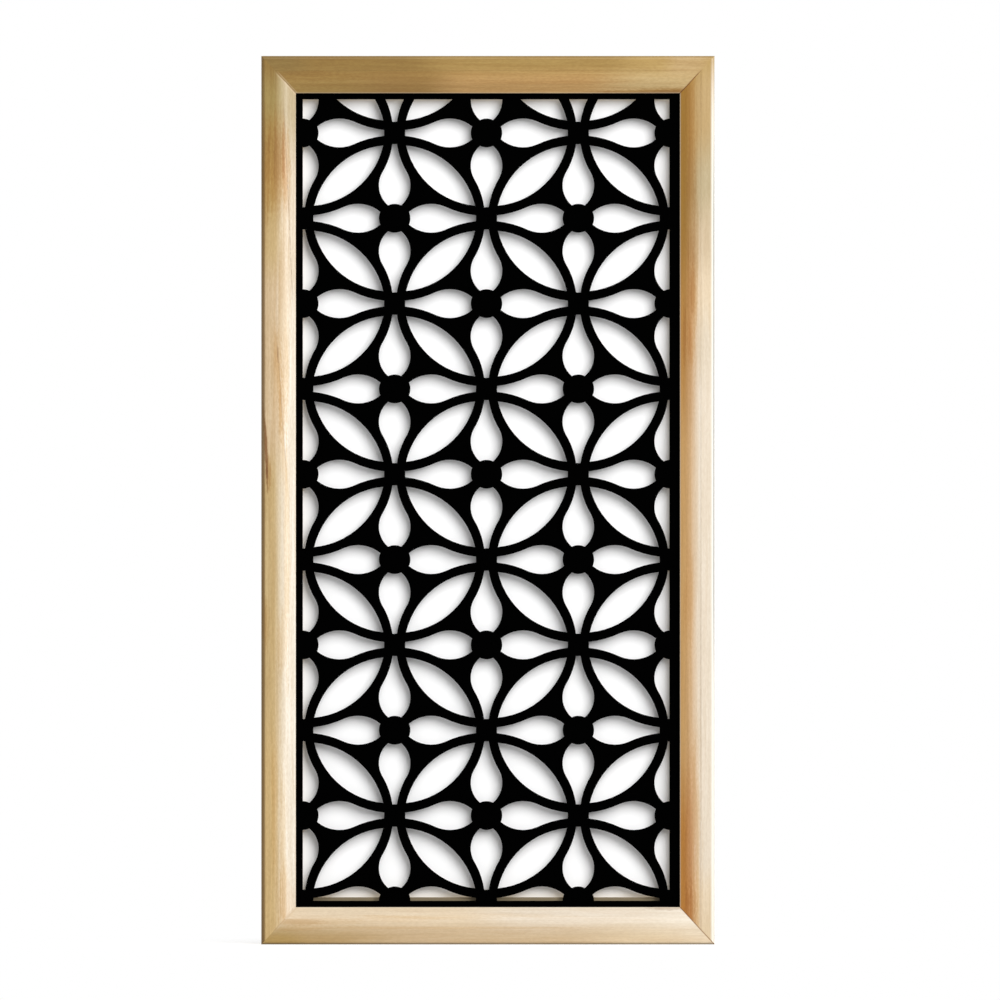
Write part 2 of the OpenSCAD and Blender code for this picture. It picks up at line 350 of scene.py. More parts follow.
# %% [markdown]
# ## The tones of pine
#
# No two boards are alike, and one board changes along its length. So the wood isn't one colour:
# it is a small set of named tones, from the olive brown near the top of this frame to the ivory
# of clean sapwood. Laid along the boards, they make the frame darker towards its upper left and
# paler towards its lower right, which is partly the wood's own tone and partly painted falloff of
# the light. They are written as they look on screen, and turned into the linear values that a
# shader works in.

# %% Name the tones


def tone(red, green, blue):
    """A screen colour, 0 to 255, as linear light: ((c + 0.055) / 1.055) ^ 2.4 above the toe."""
    shown = np.array([red, green, blue]) / 255
    linear = np.where(shown <= 0.04045, shown / 12.92, ((shown + 0.055) / 1.055) ** 2.4)
    return (*linear.tolist(), 1.0)


SHADE_OLIVE = tone(140, 114, 60)
DEEP_OLIVE = tone(145, 115, 57)
RED_OLIVE = tone(158, 124, 68)
MOSS = tone(160, 138, 80)
OLIVE = tone(166, 136, 76)
OLIVE_TAN = tone(182, 152, 93)
WARM_TAN = tone(190, 152, 96)
GOLD_OLIVE = tone(182, 134, 52)
DUSK_TAN = tone(190, 161, 112)
HONEY = tone(201, 175, 125)
STRAW = tone(209, 181, 128)
AMBER = tone(233, 184, 118)
RUST_AMBER = tone(214, 147, 65)
RESIN_GOLD = tone(212, 155, 80)
BISCUIT = tone(211, 186, 149)
OAT = tone(211, 191, 160)
SAND = tone(190, 173, 137)
WHEAT = tone(225, 204, 170)
BUTTER = tone(230, 211, 182)
CREAM = tone(225, 211, 189)
MILK = tone(232, 219, 200)
IVORY = tone(238, 229, 213)
# Painted highlight on the right stile's rounded outer edge
EDGE_HIGHLIGHT_WHITE = tone(242, 237, 226)
# Painted shade on the left stile's rounded outer edge
EDGE_SHADE_BROWN = tone(108, 78, 33)
# Painted shade on the bottom rail's outer edge
EDGE_SHADE_GREY = tone(126, 114, 98)
EDGE_GREY = tone(138, 140, 140)
FILLER = tone(120, 84, 50)
print("from olive", [round(v, 2) for v in OLIVE[:3]], "to ivory", [round(v, 2) for v in IVORY[:3]])

# %% [markdown]
# ## Where a point lies on its board
#
# Wood follows the board, not the world. Each point gets three distances: across, outwards from
# the edge of the opening, deep, from front to back, and along, the way the fibres run. A stile's
# fibres stand up and a rail's lie down, so across and along swap over at the mitre, as they do
# where two real boards meet.

# %% Measure along and across a board


def lie_on_board(recipe, upright):
    """Returns the point, its distances across, deep and along, its share of the board's length,
    and its distance from the mitre: a point is on the mitre where it is as large a share across
    the stile as across the rail."""
    point = recipe.point()
    x, y, z = recipe.put("SeparateXYZ", {0: point}).outputs
    over_stile = recipe.math("SUBTRACT", recipe.math("ABSOLUTE", x), sight_w / 2)
    over_rail = recipe.math("SUBTRACT", recipe.off(z, middle_z), sight_h / 2)
    shares = recipe.math("MULTIPLY_ADD", over_rail, -stile_w / rail_w, over_stile)
    mitre = recipe.math("ABSOLUTE", recipe.math("MULTIPLY", shares, math.sqrt(0.5)))
    across, along = (over_stile, z) if upright else (over_rail, x)
    start, length = (low.z, panel_h) if upright else (low.x, panel_w)
    share = recipe.math("DIVIDE", recipe.math("SUBTRACT", along, start), length)
    return {"point": point, "across": across, "deep": y, "along": along, "share": share,
            "mitre": mitre}


def fall(recipe, value, full, gone):
    """1 at full and beyond it, 0 at gone and beyond it, with a smooth change between."""
    values = {0: value, 1: full, 2: gone, 3: 1.0, 4: 0.0}
    return recipe.put("MapRange", values, interpolation_type="SMOOTHSTEP").outputs[0]


def stretch(recipe, lie, middle, half_length, whole=0.6):
    """1 along this stretch of the board, out to the whole share of its half length, and then
    fading to 0 at its ends."""
    return fall(recipe, recipe.off(lie["along"], middle), half_length * whole, half_length)


# %% [markdown]
# ## Fibres and growth rings
#
# Two things make wood look like wood. Its fibres are very long and thin, which a noise stretched
# along the board gives. Its growth rings are shells round the pith, the middle of the trunk. A
# sawn face cuts through those shells, and the cut makes the straight lines and long arches that
# we call grain. Working out the real distance from a pith that leans a little along the board
# gives the right arches on the front, and they carry on correctly round to the sides and back.

# %% Make fibres and growth rings
LATE_WOOD_POWER = 3.0


def fibre_noise(recipe, lie, upright, seed, fine, long, moved=0, detail=2.0):
    """Noise with fine cells to the metre across the board and long cells to the metre along it.
    It is moved off the board's seed, so that no two noises of a board are alike."""
    scale = (fine, fine, long) if upright else (long, fine, fine)
    values = {"Vector": lie["point"], "Location": (seed + moved,) * 3, "Scale": scale}
    place = recipe.put("Mapping", values).outputs[0]
    return recipe.noise(place, cells=1.0, detail=detail)


def growth_rings(recipe, lie, wander, pith, lean, pitch):
    """Late wood, 0 to 1: a power of the fraction of the distance from the pith / pitch. The pith
    is given as its distances across and deep."""
    sideways = recipe.math("MULTIPLY_ADD", lie["along"], lean, lie["across"])
    sideways = recipe.math("SUBTRACT", sideways, pith[0])
    deep = recipe.math("SUBTRACT", lie["deep"], pith[1])
    arm = recipe.put("CombineXYZ", {0: sideways, 1: deep}).outputs[0]
    radius = recipe.length(arm)
    years = recipe.math("DIVIDE", recipe.math("MULTIPLY_ADD", wander, pitch, radius), pitch)
    return recipe.math("POWER", recipe.math("FRACT", years), LATE_WOOD_POWER)


# %% [markdown]
# ## One board's own noises
#
# A board's fibres show at several sizes: broad streaks, short speckles, single fibres, and a few
# dark flecks. Each is one noise. A very slow one, the wander, carries the edges of tones and
# marks a little off straight, as the fibres do. Across the back run the marks of the saw, which
# is the same noise turned a quarter round.

# %% Read a board's noises
WANDER = dict(fine=45, long=6)
STREAK = dict(fine=260, long=9, moved=7, detail=3.0)
SPECKLE = dict(fine=620, long=190, moved=5, detail=3.0)
FIBRE = dict(fine=1100, long=16, moved=3, detail=4.0)
FLECK = dict(fine=1300, long=110, moved=9)
SAW = dict(fine=650, long=25, moved=11)
NOISE_MIDDLE = 0.5
# How much the speckles fray a mark's edge, where the streaks fray it by 1
SPECKLE_FRAY = 0.5
# How far marks and the small step wander, in metres, and tones, as a share of the board's length
MARK_WANDER = 0.004
STEP_WANDER = 0.0008
TONE_WANDER = 0.05
# Where a noise counts as whole, and where it counts as nothing
FLECK_RANGE = (0.20, 0.29)
SAW_RANGE = (0.30, 0.50)
BROKEN_RANGE = (0.56, 0.40)
BARE_DEEP = 0.003


def board_lie(recipe, upright, seed):
    """The point's lie, with the board's noises, how bare the wood is there, how much the saw
    marked it, and distances that wander as the fibres do."""
    lie = lie_on_board(recipe, upright)
    slow = fibre_noise(recipe, lie, upright, seed, **WANDER)
    wander = recipe.math("SUBTRACT", slow, NOISE_MIDDLE)
    streak = fibre_noise(recipe, lie, upright, seed, **STREAK)
    speckle = fibre_noise(recipe, lie, upright, seed, **SPECKLE)
    saw = fibre_noise(recipe, lie, not upright, seed, **SAW)
    fray = recipe.math("MULTIPLY_ADD", speckle, SPECKLE_FRAY, streak)
    bare = fall(recipe, lie["deep"], back_y, back_y - BARE_DEEP)
    lie.update({
        "wander": wander, "streak": streak, "speckle": speckle, "bare": bare,
        "fibre": fibre_noise(recipe, lie, upright, seed, **FIBRE),
        "fleck": fall(recipe, fibre_noise(recipe, lie, upright, seed, **FLECK), *FLECK_RANGE),
        "saw": recipe.times(fall(recipe, saw, *SAW_RANGE), bare),
        "fray": recipe.math("SUBTRACT", fray, (1 + SPECKLE_FRAY) * NOISE_MIDDLE),
        "broken": fall(recipe, speckle, *BROKEN_RANGE),
        "loose_across": recipe.math("MULTIPLY_ADD", wander, MARK_WANDER, lie["across"]),
        "loose_step": recipe.math("MULTIPLY_ADD", wander, STEP_WANDER, lie["across"]),
        "loose_share": recipe.math("MULTIPLY_ADD", wander, TONE_WANDER, lie["share"]),
    })
    return lie


# %% [markdown]
# ## Stains, streaks and thin lines
#
# The marks that make one board different from the next are ovals: short and wide for a stain,
# long and narrow for a streak, and hair-thin for a line of dark late wood. A lean turns an oval
# off the fibre's direction. A stain takes light away, and more of the blue than of the red, so it
# multiplies the wood's colour by a filter. Its edge is frayed by the fibres that drew it in. A
# growth line is sharp on one side and fades on the other: a hairline, broken up by the fibres,
# with the wood outwards of it a little darker.

# %% Make a mark on a board
HONEY_STAIN = (0.93, 0.81, 0.62, 1)
BROWN_STAIN = (0.75, 0.60, 0.38, 1)
DARK_STAIN = (0.42, 0.28, 0.17, 1)
MARK_FRAY = 1.6
HAIRLINE = 0.0011
HAIR_CORE = 0.0002
# Where a growth line's stain is whole and where it is gone, on the line's sharp side
SHARP_SIDE = (0.0003, -0.0006)


def off_line(recipe, lie, across, along, lean):
    """How far the point is aside of a line through (across, along) that leans off the fibres,
    and how far it is ahead of that place."""
    ahead = recipe.math("SUBTRACT", lie["along"], along)
    aside = recipe.math("SUBTRACT", lie["loose_across"], across)
    return recipe.math("MULTIPLY_ADD", ahead, -lean, aside), ahead


def mark(recipe, lie, colour, stain, across, along, width, length, lean=0.0, share=1.0):
    """Filters the colour through a stain. Its share is whole in the middle and falls to 0 as
    (aside / width)^2 + (ahead / length)^2 grows from 0 to 1, with the fibres' fray added."""
    aside, ahead = off_line(recipe, lie, across, along, lean)
    aside = recipe.math("DIVIDE", aside, width)
    ahead = recipe.math("DIVIDE", ahead, length)
    radius = recipe.math("MULTIPLY_ADD", aside, aside, recipe.math("MULTIPLY", ahead, ahead))
    radius = recipe.math("MULTIPLY_ADD", lie["fray"], MARK_FRAY, radius)
    return recipe.filter(recipe.times(fall(recipe, radius, 0.0, 1.0), share), colour, stain)


def growth_line(recipe, lie, colour, across, along, length, lean, line, stain, stain_along,
                stain_length, stain_width):
    """A hairline through (across, along), leaning off the fibres, with a stain outwards of it.
    line and stain are the strengths of the two."""
    aside = off_line(recipe, lie, across, along, lean)[0]
    outwards = recipe.times(
        fall(recipe, aside, *SHARP_SIDE), fall(recipe, aside, 0.0, stain_width),
        stretch(recipe, lie, stain_along, stain_length, whole=0.5), stain)
    colour = recipe.filter(outwards, colour, HONEY_STAIN)
    hair = fall(recipe, recipe.math("ABSOLUTE", aside), HAIR_CORE, HAIRLINE)
    hair = recipe.times(hair, stretch(recipe, lie, along, length), lie["broken"], line)
    return recipe.filter(hair, colour, DARK_STAIN)


# %% [markdown]
# ## The wood of one board
#
# The wood comes first: one run of tones for the flat band, another for the slope, blended over
# the rounded part between them. Then its fibres at three sizes and its rings filter that colour.
# A filter has a dark tint for the lows of its noise and a light one for the highs, so that the
# board as a whole keeps its tone.

# %% Colour the wood
GRAIN_TINTS = {
    "streak": ((0.86, 0.79, 0.68, 1), (1.10, 1.12, 1.16, 1)),
    "speckle": ((0.87, 0.82, 0.75, 1), (1.11, 1.12, 1.14, 1)),
    "fibre": ((0.90, 0.86, 0.79, 1), (1.08, 1.09, 1.11, 1)),
}
GRAIN_RANGE = (0.68, 0.32)
RING_SHADE = (0.82, 0.66, 0.46, 1)
RING_PITCH = 0.0036


def tone_run(recipe, share, stops):
    """A ramp through named tones, each at its share of the board's length."""
    ramp = recipe.put("ValToRGB", {0: share})
    ramp.color_ramp.interpolation = "EASE"
    while len(ramp.color_ramp.elements) < len(stops):
        ramp.color_ramp.elements.new(0.5)
    for element, (position, colour) in zip(ramp.color_ramp.elements, stops):
        element.position = position
        element.color = colour
    return ramp.outputs[0]


def wood_colour(recipe, lie, grain, late, flat_run, slope_run, blend_band):
    """The colour of the clean wood. grain is how strongly its fibres and its late wood show."""
    flat = tone_run(recipe, lie["loose_share"], flat_run)
    slope = tone_run(recipe, lie["loose_share"], slope_run)
    colour = recipe.mix(fall(recipe, lie["loose_across"], *blend_band), flat, slope)
    for noise, (dark, light) in GRAIN_TINTS.items():
        tint = recipe.mix(fall(recipe, lie[noise], *GRAIN_RANGE), dark, light)
        colour = recipe.filter(grain, colour, tint)
    return recipe.filter(recipe.times(late, lie["streak"], grain), colour, RING_SHADE)


# %% [markdown]
# ## Edges, steps and mitres
#
# The edges carry painted light and shade: painted shade on the outer edges of the left stile and
# the rails, a painted highlight on the right stile's outer edge and a thin one along the opening's
# edge, painted shade in part of the right stile's small step beside the flat band, and a thin
# painted highlight beside each mitre. The mitres themselves are dark hairlines, and part of the
# right stile's outer edge has a thin grey line. No two mitres closed alike, so each corner has its
# own.

# %% Draw the edges and the mitres
# How wide the painted highlight along the opening's edge is
SIGHT_HIGHLIGHT_BAND = 0.0018
# How deep the outer edge's tone is whole, and where it is gone
EDGE_DEPTHS = (0.003, 0.009)
RIM_IN = 0.0011
RIM_HALF_W = 0.0009
STEP_ACROSS = 0.0280
# How dark a corner's mitre line is, how strong the painted highlight beside it is, and the share
# of the board's width at which both are gone
MITRES = {
    "low_left": (0.2, 0.45, 0.75),
    "low_right": (1.0, 0.0, 1.4),
    "high_left": (0.2, 0.5, 0.62),
    "high_right": (1.0, 0.0, 0.68),
}
MITRE_FADE = (0.7, 1.0)
MITRE_HIGHLIGHT_OFF = 0.0015
MITRE_HIGHLIGHT_HALF_W = 0.0012
# The board's first half ends about here, as a share of its length
FIRST_HALF = (0.49, 0.51)


def edge_shade_and_highlight(recipe, lie, colour, width, tone, band, strength, sight_highlight, fade=None, rim=None):
    """Mixes in the tone of the outer edge, over the band inwards of it: painted shade on the left
    stile and the rails, and a painted highlight on the right stile. It also paints a thin
    highlight along the opening's edge. fade is where along the board the tone is whole and where
    it is gone, and rim is a stretch of thin grey line on the edge: its middle, its half length and
    its strength."""
    from_edge = recipe.math("SUBTRACT", width, lie["across"])
    near_front = fall(recipe, lie["deep"], *(front_y + depth for depth in EDGE_DEPTHS))
    edge_light = recipe.times(fall(recipe, from_edge, *band), strength, near_front)
    if fade:
        edge_light = recipe.times(edge_light, fall(recipe, lie["along"], *fade))
    colour = recipe.mix(edge_light, colour, tone)
    if rim:
        middle, half_length, rim_strength = rim
        grey = fall(recipe, recipe.off(from_edge, RIM_IN), 0.0, RIM_HALF_W)
        grey = recipe.times(grey, stretch(recipe, lie, middle, half_length), rim_strength)
        colour = recipe.mix(grey, colour, EDGE_GREY)
    # A thin painted highlight along the opening's edge
    light = recipe.times(fall(recipe, lie["across"], 0.0, SIGHT_HIGHLIGHT_BAND), sight_highlight)
    return recipe.mix(light, colour, CREAM)


def step_shade(recipe, lie, colour, middle, half_length, strength):
    """Paints shade into a stretch of the small step beside the flat band."""
    line = fall(recipe, recipe.off(lie["loose_step"], STEP_ACROSS), 0.0, HAIRLINE)
    line = recipe.times(line, stretch(recipe, lie, middle, half_length), strength)
    return recipe.filter(line, colour, DARK_STAIN)


def mitre_lines(recipe, lie, colour, width, corners):
    """Draws the board's two mitres, each a dark seam with a thin painted highlight beside it. The
    first of the corners is at its lower or left end.
    """
    first_end = fall(recipe, lie["share"], *FIRST_HALF)
    first, last = (MITRES[corner] for corner in corners)
    dark, light, reach = (
        recipe.math("MULTIPLY_ADD", first_end, a - b, b) for a, b in zip(first, last))
    share_out = recipe.math("DIVIDE", lie["across"], width)
    shown = fall(recipe, recipe.math("DIVIDE", share_out, reach), *MITRE_FADE)
    # The painted highlight: a thin light line beside the seam
    beside = fall(recipe, recipe.off(lie["mitre"], MITRE_HIGHLIGHT_OFF), 0.0, MITRE_HIGHLIGHT_HALF_W)
    colour = recipe.mix(recipe.times(beside, shown, light), colour, BISCUIT)
    seam = fall(recipe, lie["mitre"], 0.0, HAIRLINE)
    return recipe.filter(recipe.times(seam, shown, dark), colour, DARK_STAIN)


# %% [markdown]
# ## The bare back
#
# The back was never finished. It is paler and rough, with the marks of the saw across its fibres,
# and with the filled slots of the steel wedges, which lie just under its face.

# %% Finish the back
BARE_GRAIN = 0.9
BARE_PALE = 0.5
SAW_SHADE = (0.84, 0.79, 0.72, 1)
SAW_SHARE = 0.3
# Where the wedges' slots lie, as shares of the board's width
SLOT_PLACES = (0.42, 0.74)
# Half their width, and their reach from the mitre: where the filler is whole, and where it is gone
SLOT_HALF_W = (0.00036, 0.00072)
SLOT_REACH = (0.0054, 0.0057)
FILLER_SHARE = 0.8


def filled_slots(recipe, lie, width):
    """1 where a wedge was driven in beside the mitre and its slot filled, and 0 elsewhere."""
    slots = 0.0
    for place in SLOT_PLACES:
        slot = fall(recipe, recipe.off(lie["across"], place * width), *SLOT_HALF_W)
        slots = recipe.math("MAXIMUM", slots, slot)
    return recipe.times(slots, fall(recipe, lie["mitre"], *SLOT_REACH))


def bare_back(recipe, lie, colour, width):
    """Makes the back pale, saw-marked and slotted, and leaves the front as it is."""
    colour = recipe.mix(recipe.times(lie["bare"], BARE_PALE), colour, BISCUIT)
    colour = recipe.filter(recipe.times(lie["saw"], SAW_SHARE), colour, SAW_SHADE)
    slots = recipe.times(filled_slots(recipe, lie, width), lie["bare"], FILLER_SHARE)
    return recipe.mix(slots, colour, FILLER)


# %% [markdown]
# ## The finish of one board
#
# A board's colour is built up in the order in which it came about: the wood, its own marks and
# flecks, and then what was done to it. A clear satin coat lies over it all. The fibres, the late
# wood and the saw's marks stand out by a few hundredths of a millimetre, which is enough to break
# up the gloss.

# %% Finish a pine board
FIBRE_RELIEF = 0.00006
# How high the speckles and the late wood stand, where the fibres stand 1 high
SPECKLE_HEIGHT = 0.5
LATE_HEIGHT = 0.4
SATIN_ROUGH = 0.34
BARE_ROUGH = 0.3
FIBRE_ROUGH = 0.16


def satin_coat(recipe, lie, colour, late):
    """Gives the colour its relief and its gloss, which is rougher on the bare back."""
    height = recipe.math("MULTIPLY_ADD", lie["speckle"], SPECKLE_HEIGHT, lie["fibre"])
    height = recipe.math("MULTIPLY_ADD", late, LATE_HEIGHT, height)
    height = recipe.math("SUBTRACT", height, lie["saw"])
    relief = recipe.relief(height, strength=0.5, distance=FIBRE_RELIEF)
    rough = recipe.math("MULTIPLY_ADD", lie["bare"], BARE_ROUGH, SATIN_ROUGH)
    rough = recipe.math("MULTIPLY_ADD", lie["fibre"], FIBRE_ROUGH, rough)
    shader = recipe.put("BsdfPrincipled", {
        "Base Color": colour, "Roughness": rough, "Normal": relief, "Specular IOR Level": 0.3,
        "Coat Weight": 0.15, "Coat Roughness": 0.32})
    recipe.finish("Material", shader.outputs[0])


def pine_finish(node, upright, seed, grain, pith, lean, corners, wood, marks, edge, lines=(),
                steps=()):
    """A material for one board, made from its rings, tones, marks and edges. pith and lean place
    its rings. Each of steps is a stretch of painted shade in the small step: its middle, half
    length and strength."""
    material = bpy.data.materials.new("pine_" + node)
    recipe = Recipe(material)
    lie = board_lie(recipe, upright, seed)
    width = stile_w if upright else rail_w
    grain = recipe.math("MULTIPLY_ADD", lie["bare"], BARE_GRAIN - grain, grain)
    late = growth_rings(recipe, lie, lie["wander"], pith, lean, RING_PITCH)
    colour = wood_colour(recipe, lie, grain, late, **wood)
    for one in marks:
        colour = mark(recipe, lie, colour, **one)
    for one in lines:
        colour = growth_line(recipe, lie, colour, **one)
    colour = recipe.filter(recipe.times(lie["fleck"], grain), colour, BROWN_STAIN)
    colour = edge_shade_and_highlight(recipe, lie, colour, width, **edge)
    for one in steps:
        colour = step_shade(recipe, lie, colour, *one)
    colour = mitre_lines(recipe, lie, colour, width, corners)
    colour = bare_back(recipe, lie, colour, width)
    satin_coat(recipe, lie, colour, late)
    return material


def dress(node, material):
    """Puts the material in each of the node's slots."""
    mesh = nodes[node].data
    if not mesh.materials:
        mesh.materials.append(material)
    for slot in range(len(mesh.materials)):
        mesh.materials[slot] = material
    print(node, "wears", material.name, "with", len(material.node_tree.nodes), "shader nodes")


# %% [markdown]
# ## The left stile
#
# Olive tan at the top, honey and biscuit lower down, with an almost ivory slope. A thin dark
# growth line crosses the slope near the top and another lower down, and the flat band carries
# brown stains.

# %% Dress the left stile
dress("left_stile", pine_finish(
    "left_stile", upright=True, seed=1.0, grain=0.42, pith=(0.035, 0.07), lean=0.02,
    corners=("low_left", "high_left"),
    wood=dict(
        flat_run=[(0.0, STRAW), (0.2, STRAW), (0.30, HONEY), (0.51, HONEY), (0.585, BISCUIT),
                  (0.735, BISCUIT), (0.80, HONEY), (0.85, OLIVE_TAN), (0.90, OLIVE), (0.955, MOSS),
                  (1.0, DEEP_OLIVE)],
        slope_run=[(0.0, BUTTER), (0.02, BUTTER), (0.045, MILK), (0.075, IVORY), (0.70, IVORY),
                   (0.77, CREAM), (0.86, CREAM), (0.94, SAND)],
        blend_band=(0.010, 0.032)),
    marks=[
        dict(stain=HONEY_STAIN, across=0.027, along=1.055, width=0.021, length=0.084, share=0.9),
        dict(stain=BROWN_STAIN, across=0.0225, along=1.064, width=0.010, length=0.056, share=0.6),
        dict(stain=BROWN_STAIN, across=0.0385, along=1.034, width=0.008, length=0.070, share=0.5),
        dict(stain=HONEY_STAIN, across=0.014, along=1.062, width=0.008, length=0.060, share=0.8),
        dict(stain=HONEY_STAIN, across=0.023, along=0.775, width=0.007, length=0.070, lean=0.06,
             share=0.5),
        dict(stain=DARK_STAIN, across=0.0245, along=0.797, width=0.0015, length=0.014, share=0.4),
        dict(stain=DARK_STAIN, across=0.0418, along=0.68, width=0.0032, length=0.075, lean=0.055),
        dict(stain=BROWN_STAIN, across=0.037, along=0.637, width=0.005, length=0.030, share=0.75),
        dict(stain=BROWN_STAIN, across=0.0415, along=0.435, width=0.006, length=0.045, share=0.6),
        dict(stain=HONEY_STAIN, across=0.016, along=0.87, width=0.010, length=0.24, share=0.55),
        dict(stain=HONEY_STAIN, across=0.016, along=0.75, width=0.008, length=0.09, share=0.6),
        dict(stain=HONEY_STAIN, across=0.0173, along=0.722, width=0.007, length=0.065, share=0.6),
        dict(stain=BROWN_STAIN, across=0.0115, along=1.035, width=0.006, length=0.065, share=0.4),
        dict(stain=DARK_STAIN, across=0.0173, along=0.74, width=0.007, length=0.08, share=0.1),
        dict(stain=HONEY_STAIN, across=0.0115, along=0.50, width=0.005, length=0.20, share=0.8),
        dict(stain=HONEY_STAIN, across=0.018, along=0.41, width=0.009, length=0.055, share=0.5),
        dict(stain=HONEY_STAIN, across=0.024, along=0.355, width=0.007, length=0.12, share=0.2),
        dict(stain=HONEY_STAIN, across=0.028, along=0.18, width=0.006, length=0.12, share=0.6),
        dict(stain=BROWN_STAIN, across=0.022, along=0.115, width=0.005, length=0.065, share=0.1),
        dict(stain=HONEY_STAIN, across=0.0170, along=0.13, width=0.006, length=0.16, share=0.7),
        dict(stain=HONEY_STAIN, across=0.0155, along=0.06, width=0.012, length=0.065, share=0.5),
    ],
    lines=[
        dict(across=0.0101, along=1.0, length=0.16, lean=0.042, line=0.55,
             stain=0.7, stain_along=1.06, stain_length=0.085, stain_width=0.016),
        dict(across=0.0183, along=0.718, length=0.11, lean=0.075, line=0.45,
             stain=0.75, stain_along=0.72, stain_length=0.13, stain_width=0.016),
    ],
    edge=dict(tone=EDGE_SHADE_BROWN, band=(0.0036, 0.0066), strength=0.8, fade=(1.0, 1.35), sight_highlight=0.2)))

# %% [markdown]
# ## The right stile
#
# Its flat band is the palest part of the frame. Its slope is cut through darker, resinous wood:
# gold olive at the top, then resin gold and amber, and rusty near the foot.

# %% Dress the right stile
dress("right_stile", pine_finish(
    "right_stile", upright=True, seed=21.0, grain=0.26, pith=(0.005, 0.06), lean=-0.015,
    corners=("low_right", "high_right"),
    wood=dict(
        flat_run=[(0.0, WHEAT), (0.05, BUTTER), (0.10, MILK), (0.61, MILK), (0.67, CREAM),
                  (0.73, BUTTER), (0.79, OAT), (0.86, SAND), (0.93, DUSK_TAN), (0.96, DUSK_TAN),
                  (1.0, OLIVE_TAN)],
        slope_run=[(0.0, RUST_AMBER), (0.12, RUST_AMBER), (0.25, AMBER), (0.54, AMBER),
                   (0.68, RESIN_GOLD), (0.84, GOLD_OLIVE), (0.97, GOLD_OLIVE)],
        blend_band=(0.005, 0.029)),
    marks=[
        dict(stain=HONEY_STAIN, across=0.015, along=1.10, width=0.010, length=0.12, share=0.5),
        dict(stain=HONEY_STAIN, across=0.015, along=0.855, width=0.008, length=0.09, share=0.6),
        dict(stain=BROWN_STAIN, across=0.0150, along=0.940, width=0.005, length=0.030, share=0.3),
        dict(stain=BROWN_STAIN, across=0.0165, along=0.880, width=0.0035, length=0.045, share=0.6),
        dict(stain=BROWN_STAIN, across=0.0065, along=0.825, width=0.004, length=0.055, share=0.5),
        dict(stain=HONEY_STAIN, across=0.0145, along=0.812, width=0.007, length=0.040, share=0.6),
        dict(stain=BROWN_STAIN, across=0.022, along=0.955, width=0.004, length=0.13, share=0.5),
        dict(stain=HONEY_STAIN, across=0.018, along=0.12, width=0.012, length=0.18, share=0.7),
        dict(stain=HONEY_STAIN, across=0.018, along=0.11, width=0.015, length=0.28, share=0.3),
        dict(stain=HONEY_STAIN, across=0.012, along=0.46, width=0.009, length=0.10, share=0.6),
        dict(stain=HONEY_STAIN, across=0.0165, along=0.92, width=0.008, length=0.30, share=0.35),
        dict(stain=HONEY_STAIN, across=0.0165, along=0.60, width=0.008, length=1.5, share=0.18),
        dict(stain=HONEY_STAIN, across=0.0170, along=0.09, width=0.006, length=0.08, share=0.4),
        dict(stain=BROWN_STAIN, across=0.0145, along=0.045, width=0.0095, length=0.055, share=0.6),
    ],
    edge=dict(tone=EDGE_HIGHLIGHT_WHITE, band=(0.0034, 0.0062), strength=0.75, fade=(1.10, 1.23), sight_highlight=0.7,
              rim=(0.72, 0.40, 1.0)),
    # Painted shade in the small step, along the lower half of the stile
    steps=[(0.05, 0.50, 0.2)]))

# %% [markdown]
# ## The top rail
#
# The darkest board: olive brown at the left and a little paler to the right, with reddish
# streaks in the lower half. A painted shadow lies along the opening's edge near its right end.

# %% Dress the top rail
dress("top_rail", pine_finish(
    "top_rail", upright=False, seed=41.0, grain=0.42, pith=(0.02, 0.05), lean=0.03,
    corners=("high_left", "high_right"),
    wood=dict(
        flat_run=[(0.0, SHADE_OLIVE), (0.05, SHADE_OLIVE), (0.13, DEEP_OLIVE), (0.31, DEEP_OLIVE),
                  (0.43, OLIVE), (0.74, OLIVE), (0.87, OLIVE_TAN), (0.92, DUSK_TAN),
                  (0.95, DUSK_TAN), (1.0, OLIVE_TAN)],
        slope_run=[(0.0, OLIVE), (0.14, OLIVE), (0.30, RED_OLIVE), (0.35, RED_OLIVE),
                   (0.46, WARM_TAN), (0.70, WARM_TAN), (0.85, HONEY), (0.92, HONEY)],
        blend_band=(0.015, 0.038)),
    marks=[
        dict(stain=BROWN_STAIN, across=0.022, along=-0.235, width=0.009, length=0.09, share=0.4),
        dict(stain=BROWN_STAIN, across=0.011, along=-0.215, width=0.008, length=0.06, share=0.2),
        dict(stain=BROWN_STAIN, across=0.016, along=0.08, width=0.004, length=0.15, share=0.2),
        # Painted shadow along the opening's edge near the right end
        dict(stain=BROWN_STAIN, across=-0.001, along=0.235, width=0.011, length=0.110),
        dict(stain=DARK_STAIN, across=-0.001, along=0.245, width=0.006, length=0.060, share=0.45),
    ],
    # The thin DEEP_OLIVE band on the outer edge is painted shade
    edge=dict(tone=DEEP_OLIVE, band=(0.0005, 0.0025), strength=0.5, sight_highlight=0.35)))

# %% [markdown]
# ## The bottom rail
#
# Cream on its slope and biscuit on its flat band, which darkens towards the left mitre, where a
# brown stain shows.

